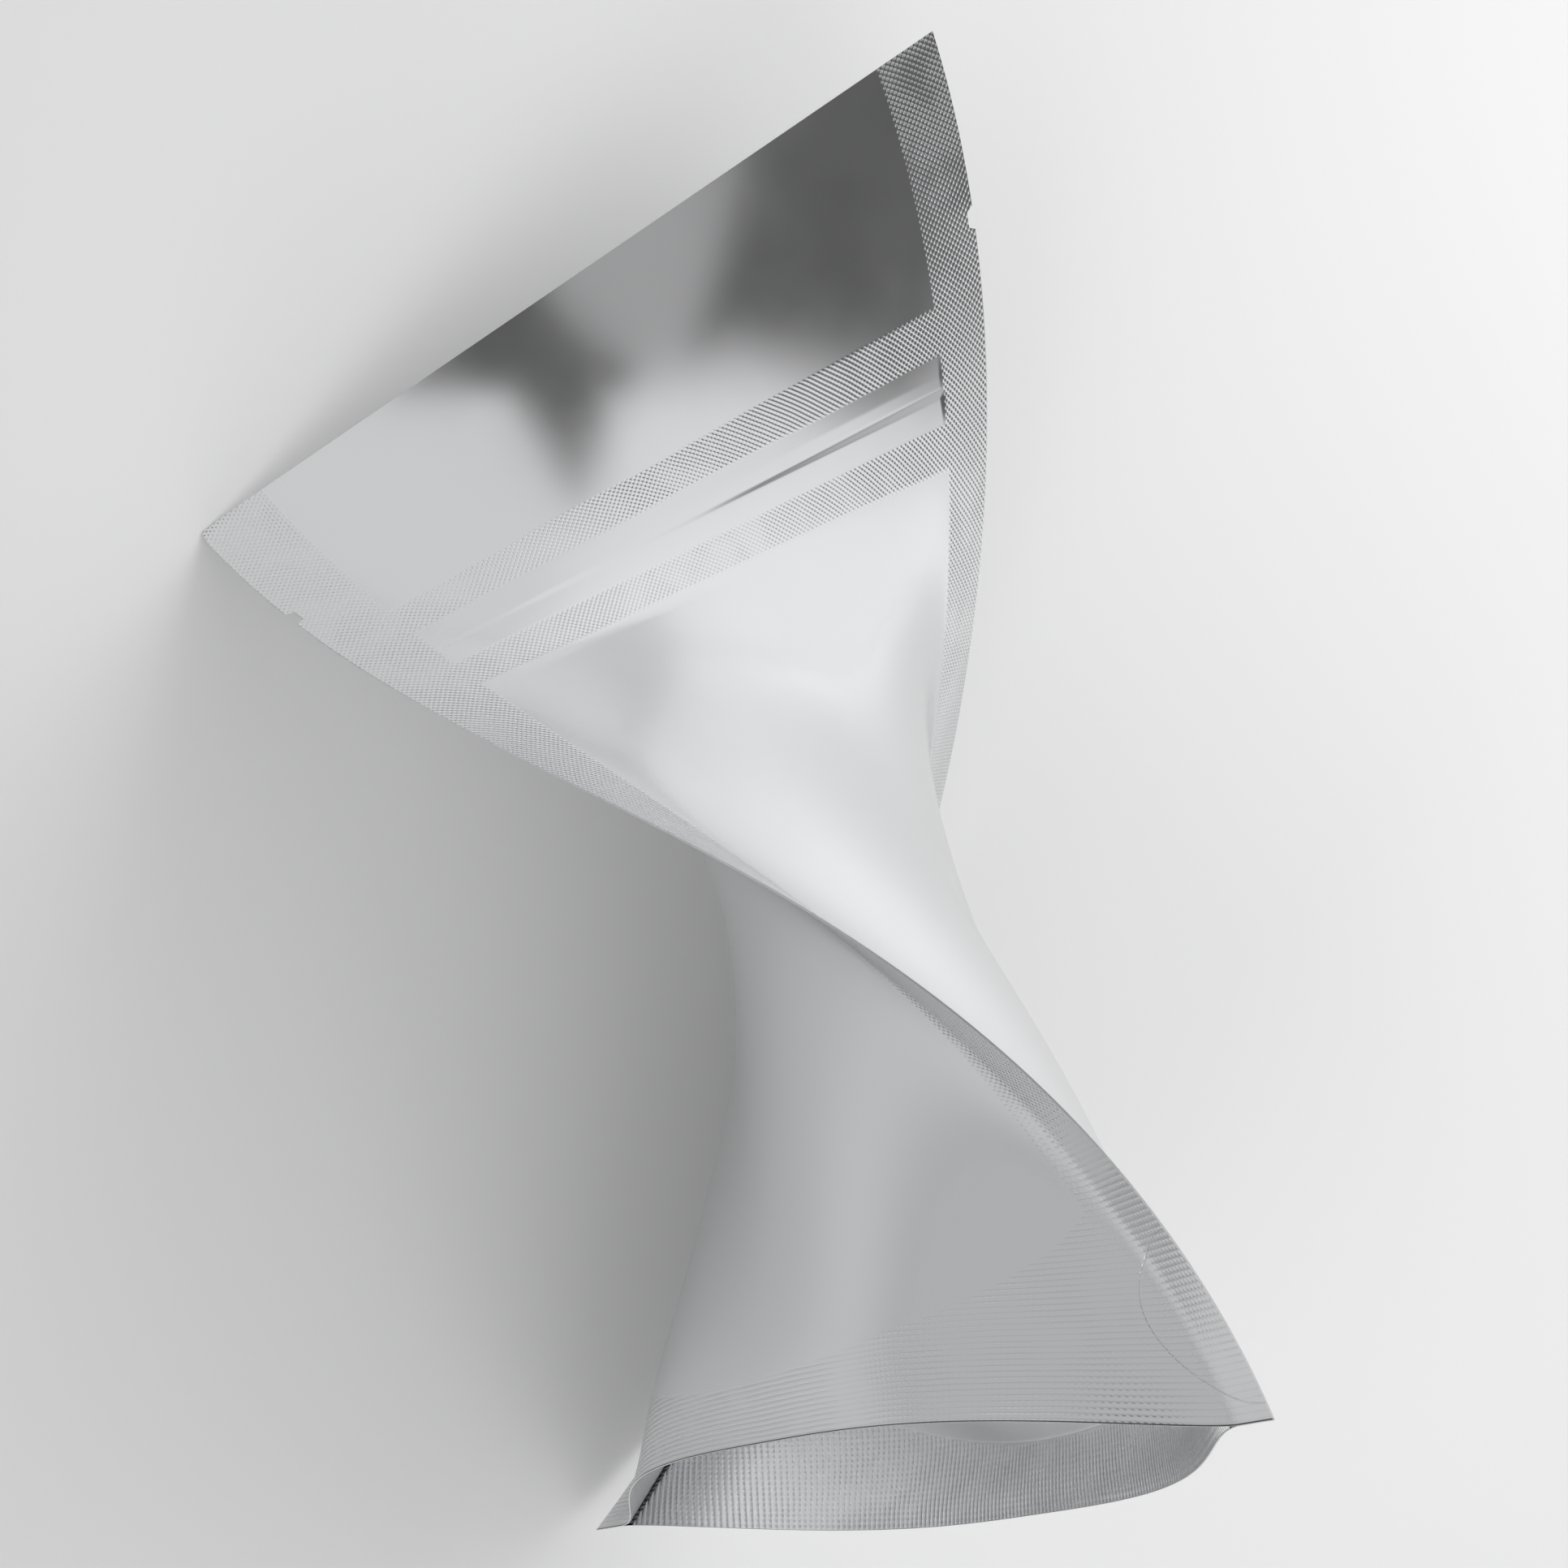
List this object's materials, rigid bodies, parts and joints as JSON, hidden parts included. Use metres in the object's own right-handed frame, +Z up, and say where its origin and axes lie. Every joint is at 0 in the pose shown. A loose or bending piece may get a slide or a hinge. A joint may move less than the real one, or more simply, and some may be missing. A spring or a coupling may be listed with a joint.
{
  "type": "stand-up foil pouch",
  "caption": "Blank foil pouch with press-to-close zip, tear notches and open bottom gusset, wrung about its length, lying on a side seal and a corner.",
  "frame": {"origin": "on the table, under the middle of the pouch's box as it lies", "axes": "+X the way the pouch's base faces, seen from above; +Z up; +Y completes the frame"},
  "size_m": [0.2204, 0.1436, 0.1294],
  "materials": {
    "foil": "satin metallised film"
  },
  "bodies": {
    "root": {"pouch": "foil"}
  },
  "joints": []
}
